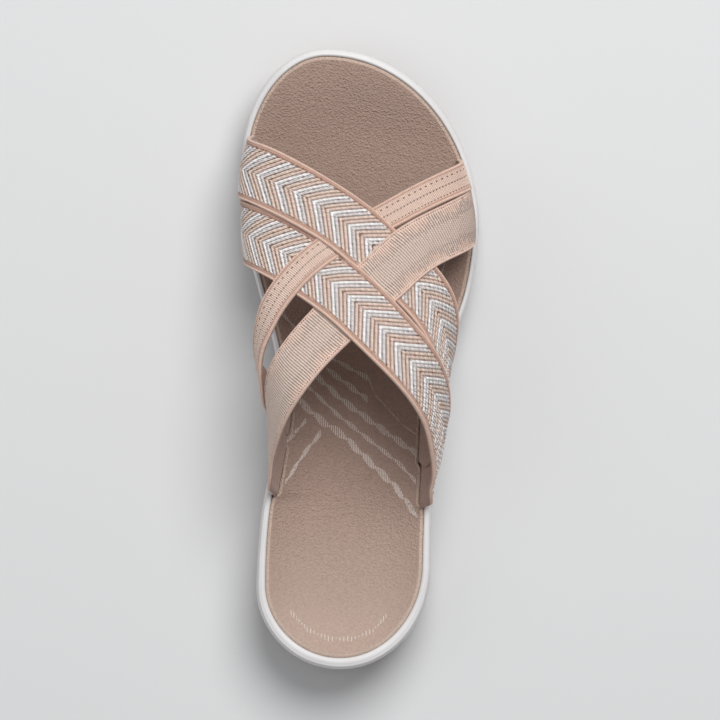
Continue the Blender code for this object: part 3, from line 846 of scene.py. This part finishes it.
def wide_knit(across, own, half):
    """Relief and yarn of the wide plain strap: beige ribs of uneven length between peach edges."""
    inward = half - np.abs(across)
    rib = np.floor(own / WIDE_RIB + 0.5)
    ribs = wave(own, WIDE_RIB)
    dots = wave(across, WIDE_DOT, rib * math.pi)
    reach = 0.0036 + 0.0013 * np.sin(own / 0.017 * 2 * math.pi) + 0.0012 * np.sin(rib * 2.4)
    middle = inward > reach
    body = WIDE_FACE + WIDE_RIB_LIFT * ribs * np.where(middle, 1.0, 0.5) + WIDE_DOT_LIFT * dots
    tip = inward < reach + 0.0022
    light_beige = (ribs > np.where(tip, -0.1, -0.55)) | ((dots < -0.75) & ~tip)
    beige = np.where(light_beige, YARN_INDEX["stone"], YARN_INDEX["stone_dark"])
    # At the peach edges the rib troughs take the darker peach: partly the knit's alternating tones and
    # partly painted shade in the troughs.
    light_peach = (ribs > -0.5) | (inward < 0.0018)
    peach = np.where(light_peach, YARN_INDEX["peach_light"], YARN_INDEX["peach_shade"])
    choice = np.where(middle, beige, peach)
    in_edge = inward < WIDE_BINDING
    choice = np.where(in_edge, YARN_INDEX["peach"], choice)
    fleck = (inward > 0.0010) & (inward < 0.0015) & dashes(own, *FLECKS)
    choice = np.where(fleck, YARN_INDEX["brown"], choice)
    lift = np.where(in_edge, BINDING_FACE + edge_profile(inward, WIDE_ROLL), body)
    return lift - edge_fall(inward), choice


build_chevron_strap("chevron_front")
build_chevron_strap("chevron_back")
build_plain_strap("plain_narrow", NARROW_STEP, NARROW_RIB, narrow_knit)
build_plain_strap("plain_wide", WIDE_STEP, WIDE_RIB, wide_knit)


# Midsole
def build_midsole():
    """The foam cup: side wall, rounded rim and the recess for the footbed."""
    loop = Loop(SOLE_STATIONS)
    low = ground_z(loop.along) + OUTSOLE_THICKNESS + SEAM
    high = loop.by_side(rim_z)
    rim = rim_width(loop.along)
    rings = [ring(loop.spine, ground_z(loop.spine[:, 1] / LENGTH) + OUTSOLE_THICKNESS + SEAM)]
    for height in np.linspace(0, 1, SIDE_RINGS):
        points = loop.inset(read(SIDE, "inset", height) * SIDE_FLARE)
        rings.append(ring(points, low + height * (high - low)))
    outer = 0.5 * SIDE_FLARE
    crown = outer + (rim - outer) * 0.5
    for turn in np.linspace(0, 1, RIM_RINGS)[1:]:
        inset = outer + turn * (rim - outer)
        fall = RIM_EDGE * (np.abs(inset - crown) / (rim - crown)) ** 2.5
        rings.append(ring(loop.inset(inset), high + 0.3 * RIM_EDGE - fall))
    wall = loop.inset(rim)
    rings.append(ring(wall, floor_z(loop.along)))
    rings.append(ring(loop.toward_spine(wall, 0), floor_z(loop.spine[:, 1] / LENGTH)))
    piece = ring_piece("midsole_foam", rings, foam())
    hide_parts("midsole")


def foam():
    material, shader, place = new_material("white_foam", 0.5)
    tone = add_node(material, "ShaderNodeTexNoise", {"Vector": place, "Scale": 60, "Detail": 4})
    two_tone(material, shader, tone.outputs["Fac"], linear(216, 213, 212), linear(234, 232, 231))
    skin = add_node(material, "ShaderNodeTexNoise", {"Vector": place, "Scale": 1500, "Detail": 3})
    relief(material, shader, skin.outputs["Fac"], 0.00006, 0.5)
    return material


# Footbed
def tab_room(side, along):
    """How far the footbed's edge steps in beside the tabs of the straps."""
    end = 0 if side < 0 else -1
    room = np.zeros(len(along))
    for strap in STRAPS.values():
        points = strap_columns(strap, np.array([0.0, 1.0]))[1]
        low, high = sorted(points[end, :, 1] / LENGTH)
        depth = WALL * BINDING_GROW - strap["layer"]["layer"][end] * (WALL - FUSE)
        inside = smooth(along, low, low + TAB_RAMP) * (1 - smooth(along, high - TAB_RAMP, high))
        room = np.maximum(room, depth * inside)
    return room


def build_footbed():
    """The padded footbed, with a lighter colour on its bottom and rounded edge: a painted highlight where
    the edge rolls down to the rim.
    """
    loop = Loop(SOLE_STATIONS)
    gap = rim_width(loop.along) + 0.2 * SEAM + loop.by_side(tab_room)
    edge = loop.inset(gap)
    top = loop.by_side(rim_z) - BED_DROP
    crown = loop.inset(gap + BED_EDGE)
    rings = [ring(loop.spine, floor_z(loop.spine[:, 1] / LENGTH) + SEAM)]
    rings.append(ring(loop.inset(gap + SEAM), floor_z(loop.along) + SEAM))
    rings.append(ring(edge, floor_z(loop.along) + 2 * SEAM))
    for turn in np.linspace(0, math.pi / 2, BED_EDGE_TURNS)[:-1]:
        inset = BED_EDGE * (1 - math.cos(turn))
        rings.append(ring(loop.inset(gap + inset), top - BED_EDGE_DEPTH * (1 - math.sin(turn))))
    for share in np.linspace(1, 0, BED_RINGS):
        points = loop.toward_spine(crown, share)
        along = points[:, 1] / LENGTH
        centre = bed_z(along)
        rings.append(ring(points, centre + (top - centre) * share ** read(HEIGHTS, "dish", along)))
    rings = np.array(rings)
    quads = grid_quads(len(rings), rings.shape[1], True)
    # Painted highlight: the bottom and edge rings take a lighter leather colour, which also lightens the
    # shade in the crevice at the rim.
    painted_highlight_rows = np.repeat(np.arange(len(rings) - 1) < BED_EDGE_TURNS + 2, rings.shape[1])
    leathers = [
        # The lighter heel colour is partly the leather's own tone and partly painted light on the heel cup.
        bed_leather("footbed_leather", (168, 141, 127), (184, 160, 146)),
        bed_leather("footbed_edge_painted_highlight", (198, 174, 158), (200, 178, 163)),
    ]
    piece = add_piece("footbed_pad", rings, quads, leathers, painted_highlight_rows.astype(int))
    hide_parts("footbed")
    return piece


def build_print(bed):
    """Small upright ticks printed on the footbed in crossing bands."""
    tree = BVHTree.FromObject(bed, bpy.context.evaluated_depsgraph_get())
    points = []
    for number, band in enumerate(BANDS):
        corner_x = band["corners"]["across"] * BALL_WIDTH
        corner_y = (band["corners"]["along"] - HEEL_REST) * LENGTH
        reach = np.concatenate([[0], np.cumsum(np.hypot(np.diff(corner_x), np.diff(corner_y)))])
        steps = np.arange(band["pitch"] / 2, reach[-1], band["pitch"])
        tall = band["tall"] * (0.25 + 0.75 * np.abs(np.sin(steps / TICK_WAVE * math.pi + number)))
        for x, y, height in zip(np.interp(steps, reach, corner_x), np.interp(steps, reach, corner_y), tall):
            corners = [(x + side * TICK_WIDTH, y + up * height, ABOVE_BED)
                       for up in np.linspace(-0.5, 0.5, TICK_POINTS) for side in (-0.5, 0.5)]
            hits = [tree.ray_cast(Vector(corner), Vector((0, 0, -1)))[0] for corner in corners]
            if None not in hits:
                points.extend((hit.x, hit.y + HEEL_REST * LENGTH, hit.z + TICK_LIFT) for hit in hits)
    points = np.array(points).reshape(-1, TICK_POINTS, 2, 3)
    quads = grid_quads(TICK_POINTS, 2, False)
    faces = np.concatenate([quads + 2 * TICK_POINTS * k for k in range(len(points))])
    material, shader, place = new_material("footbed_print", 0.8)
    tone = add_node(material, "ShaderNodeTexNoise", {"Vector": place, "Scale": 1100, "Detail": 2})
    patchy = add_node(material, "ShaderNodeMapRange", {
        "Value": tone.outputs["Fac"], "From Min": 0.28, "From Max": 0.48})
    two_tone(material, shader, patchy.outputs["Result"], linear(176, 156, 144), linear(216, 202, 193))
    add_piece("footbed_print", points, faces, [material])


def bed_leather(name, toe_colour, heel_colour):
    """Matt leather, grained at the toe and smoother to the heel; its colour lightens towards the heel,
    partly the leather's own tone and partly painted light on the heel cup.
    """
    material, shader, place = new_material(name, 0.72, Sheen_Weight=0.1)
    split = add_node(material, "ShaderNodeSeparateXYZ", {"Vector": place})
    # Partly painted light: the colour runs from the toe colour to a lighter heel colour where the heel cup
    # faces the lamp.
    heelward = add_node(material, "ShaderNodeMapRange", {
        "Value": split.outputs["Y"], "From Min": 0.035, "From Max": -0.03}, interpolation_type="SMOOTHSTEP")
    base = two_tone(material, shader, heelward.outputs["Result"], linear(*toe_colour), linear(*heel_colour))
    grain = add_node(material, "ShaderNodeTexVoronoi", {
        "Vector": place, "Scale": 1500}, feature="SMOOTH_F1")
    wander = add_node(material, "ShaderNodeTexNoise", {"Vector": place, "Scale": 1000, "Detail": 3})
    mottle = add_node(material, "ShaderNodeMapRange", {
        "Value": wander.outputs["Fac"], "From Min": 0.35, "From Max": 0.65, "To Min": 0.90, "To Max": 1.04})
    tinted = add_node(material, "ShaderNodeMix", {
        "Factor": 1.0, "A": base.outputs["Result"], "B": mottle.outputs["Result"]},
        data_type="RGBA", blend_type="MULTIPLY")
    material.node_tree.links.new(tinted.outputs["Result"], shader.inputs["Base Color"])
    both = add_node(material, "ShaderNodeMath", {0: grain.outputs["Distance"], 1: wander.outputs["Fac"]})
    worn = add_node(material, "ShaderNodeMapRange", {
        "Value": heelward.outputs["Result"], "To Min": 1.0, "To Max": 0.25})
    depth = add_node(material, "ShaderNodeMath", {
        0: both.outputs["Value"], 1: worn.outputs["Result"]}, operation="MULTIPLY")
    relief(material, shader, depth.outputs["Value"], 0.0006, 0.9)
    return material


# Outsole
def outsole_rubber(name):
    material, shader, place = new_material(name, 0.62)
    tone = add_node(material, "ShaderNodeTexNoise", {"Vector": place, "Scale": 90, "Detail": 5})
    two_tone(material, shader, tone.outputs["Fac"], linear(158, 130, 115), linear(182, 152, 136))
    skin = add_node(material, "ShaderNodeTexNoise", {"Vector": place, "Scale": 2600, "Detail": 2})
    relief(material, shader, skin.outputs["Fac"], 0.00008, 0.6)
    return material


def panel_mask(points):
    """1 inside the smooth panel under the arch and 0 outside, with a slope between."""
    along = points[:, 1] / LENGTH
    inner = read(PANEL, "across", along) * BALL_WIDTH
    rim = inset_x(-1, along, PANEL_BORDER)
    heel_end = PANEL["along"][0]
    toe_end = PANEL["along"][-1]
    ends = smooth(along, heel_end - PANEL_OUTER_RAMP, heel_end + PANEL_INNER_RAMP)
    ends = ends * (1 - smooth(along, toe_end - PANEL_INNER_RAMP, toe_end + PANEL_OUTER_RAMP))
    inside = smooth(inner - points[:, 0], -PANEL_SLOPE, PANEL_SLOPE)
    return inside * smooth(points[:, 0] - rim, -PANEL_RIM_SLOPE, PANEL_RIM_SLOPE) * ends


def build_outsole():
    """The rubber outsole: sunk tread field and panel, a border round them and a rounded lower edge."""
    loop = Loop(TREAD_STATIONS)
    low = ground_z(loop.along)
    rings = []
    for share in np.linspace(0, 1, TREAD_RINGS):
        points = loop.toward_spine(loop.inset(OUTSOLE_INSET + OUTSOLE_EDGE + TREAD_BORDER), share)
        sunk = TREAD_DEPTH + (PANEL_DEPTH - TREAD_DEPTH) * panel_mask(points)
        rings.append(ring(points, ground_z(points[:, 1] / LENGTH) + sunk))
    for inward, share in zip(BORDER["inward"], BORDER["sunk"]):
        points = loop.inset(OUTSOLE_INSET + OUTSOLE_EDGE + inward * TREAD_BORDER)
        sunk = np.maximum(share * TREAD_DEPTH, PANEL_DEPTH * panel_mask(points))
        rings.append(ring(points, ground_z(points[:, 1] / LENGTH) + sunk))
    for turn in np.linspace(0, math.pi / 2, EDGE_RINGS)[1:]:
        inset = OUTSOLE_INSET + OUTSOLE_EDGE * (1 - math.sin(turn))
        rings.append(ring(loop.inset(inset), low + OUTSOLE_EDGE * (1 - math.cos(turn))))
    wall = loop.inset(OUTSOLE_INSET)
    rings.append(ring(wall, low + OUTSOLE_THICKNESS))
    rings.append(ring(loop.spine, ground_z(loop.spine[:, 1] / LENGTH) + OUTSOLE_THICKNESS))
    piece = ring_piece("outsole_rubber", rings, outsole_rubber("tan_rubber"))
    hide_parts("outsole")


def rib_line(number, over):
    """Points of one rib: number counts the ribs from the toe, over is the share from lateral to medial."""
    trough = read(RIBS, "trough", number)
    crest = read(RIBS, "crest", number)
    rise = (1 - np.cos(math.pi * np.clip((over - RIB_TROUGH) / (RIB_CREST - RIB_TROUGH), 0, 1))) / 2
    rise = rise + RIB_LATERAL_RISE * np.clip(1 - over / RIB_TROUGH, 0, 1) ** 1.3
    rise = rise - RIB_MEDIAL_FALL * np.clip((over - RIB_CREST) / (1 - RIB_CREST), 0, 1) ** 1.5
    along = np.clip(trough + (crest - trough) * rise, *RIB_ENDS)
    lateral = outline_x(1, along)
    return np.stack([lateral + (outline_x(-1, along) - lateral) * over, along * LENGTH], -1)


def edge_room(points):
    """Distance of points from the sole's edge."""
    edge = Loop(TREAD_STATIONS // 2).edge
    return np.linalg.norm(points[:, None] - edge[None], axis=2).min(1)


def build_ribs():
    """Wavy ribs of the tread, as closed bars that sink into the rubber at the border and the panel."""
    over = np.linspace(0.02, 0.98, RIB_STEPS)
    offsets = RIB_SECTION["offset"]
    rise = np.tile(RIB_SECTION["rise"], len(over))
    points = []
    faces = []
    caps = []
    count = 0
    for number in np.arange(0, RIBS["rib"][-1] + 0.5):
        lines = np.stack([rib_line(number + offset, over) for offset in offsets], 1)
        flat = lines.reshape(-1, 2)
        panel = panel_mask(flat)
        room = edge_room(flat) - OUTSOLE_INSET - OUTSOLE_EDGE
        fade = smooth(room, RIB_FADE[0] * TREAD_BORDER, RIB_FADE[1] * TREAD_BORDER) * (1 - panel)
        base = TREAD_DEPTH + (PANEL_DEPTH - TREAD_DEPTH) * panel
        below_lip = OUTSOLE_THICKNESS * smooth(-room, 0.2 * OUTSOLE_EDGE, OUTSOLE_EDGE)
        top = base - TREAD_DEPTH * rise * fade + RIB_SINK * (1 - fade) + below_lip
        ground = ground_z(flat[:, 1] / LENGTH)
        shape = (len(over), len(offsets), 3)
        bars = ring(flat, ground + top).reshape(shape)
        roots = ring(flat, ground + RIB_ROOT * OUTSOLE_THICKNESS + below_lip).reshape(shape)
        bars = np.concatenate([bars, roots[:, [-1, 0]]], 1)
        columns = bars.shape[1]
        seen = fade.reshape(len(over), -1).max(1) > 0.01
        keep = np.flatnonzero(seen | np.roll(seen, 2) | np.roll(seen, -2))
        for run in np.split(keep, np.flatnonzero(np.diff(keep) > 1) + 1):
            if len(run) < RIB_SHORTEST:
                continue
            points.append(bars[run].reshape(-1, 3))
            faces.append(grid_quads(len(run), columns, True) + count)
            caps.append(count + np.arange(columns))
            caps.append(count + (len(run) - 1) * columns + np.arange(columns))
            count += len(points[-1])
    rubber = outsole_rubber("tan_rubber_ribs")
    piece = add_piece("tread_ribs", np.concatenate(points), np.concatenate(faces), [rubber], caps=caps)
    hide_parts("outsole")


# Floor, light and camera
AIM = (0, 0.08, 0.03)
CAMERA_HEIGHT = 8.0
VIEW_WIDTH = 0.2982
VIEW_ACROSS = 0.0070
VIEW_ALONG = 0.1276


def build_stage():
    bpy.ops.mesh.primitive_plane_add(size=12)
    floor = bpy.context.object
    floor.name = "floor"
    material, shader, _ = new_material("floor", 0.9)
    shader.inputs["Base Color"].default_value = linear(222, 222, 222)
    shader.inputs["Specular IOR Level"].default_value = 0.1
    floor.data.materials.append(material)


def add_light(name, place, size, power):
    """A round soft light that looks at the shoe."""
    data = bpy.data.lights.new(name, "AREA")
    data.shape = "DISK"
    data.size = size
    data.energy = power
    light = bpy.data.objects.new(name, data)
    bpy.context.scene.collection.objects.link(light)
    light.location = place
    direction = np.array(AIM) - np.array(place)
    pitch = math.atan2(np.hypot(direction[0], direction[1]), -direction[2])
    light.rotation_euler = (pitch, 0, math.atan2(-direction[0], direction[1]))


def build_camera():
    data = bpy.data.cameras.new("camera")
    camera = bpy.data.objects.new("camera", data)
    bpy.context.scene.collection.objects.link(camera)
    camera.location = (VIEW_ACROSS, VIEW_ALONG - HEEL_REST * LENGTH, CAMERA_HEIGHT)
    data.sensor_width = 36
    data.lens = data.sensor_width * CAMERA_HEIGHT / VIEW_WIDTH
    data.clip_start = 0.1
    data.clip_end = 40
    bpy.context.scene.camera = camera


def build_world():
    world = bpy.data.worlds.new("studio")
    world.use_nodes = True
    background = world.node_tree.nodes["Background"]
    background.inputs["Color"].default_value = (0.95, 0.97, 1.0, 1)
    background.inputs["Strength"].default_value = 0.29
    bpy.context.scene.world = world


build_midsole()
build_print(build_footbed())
build_outsole()
build_ribs()
build_stage()
add_light("key", (0.38, 1.05, 1.7), size=1.3, power=33)
add_light("fill", (-1.1, 0.1, 1.3), size=1.4, power=3)
build_camera()
build_world()
bpy.context.scene.view_settings.view_transform = "Standard"
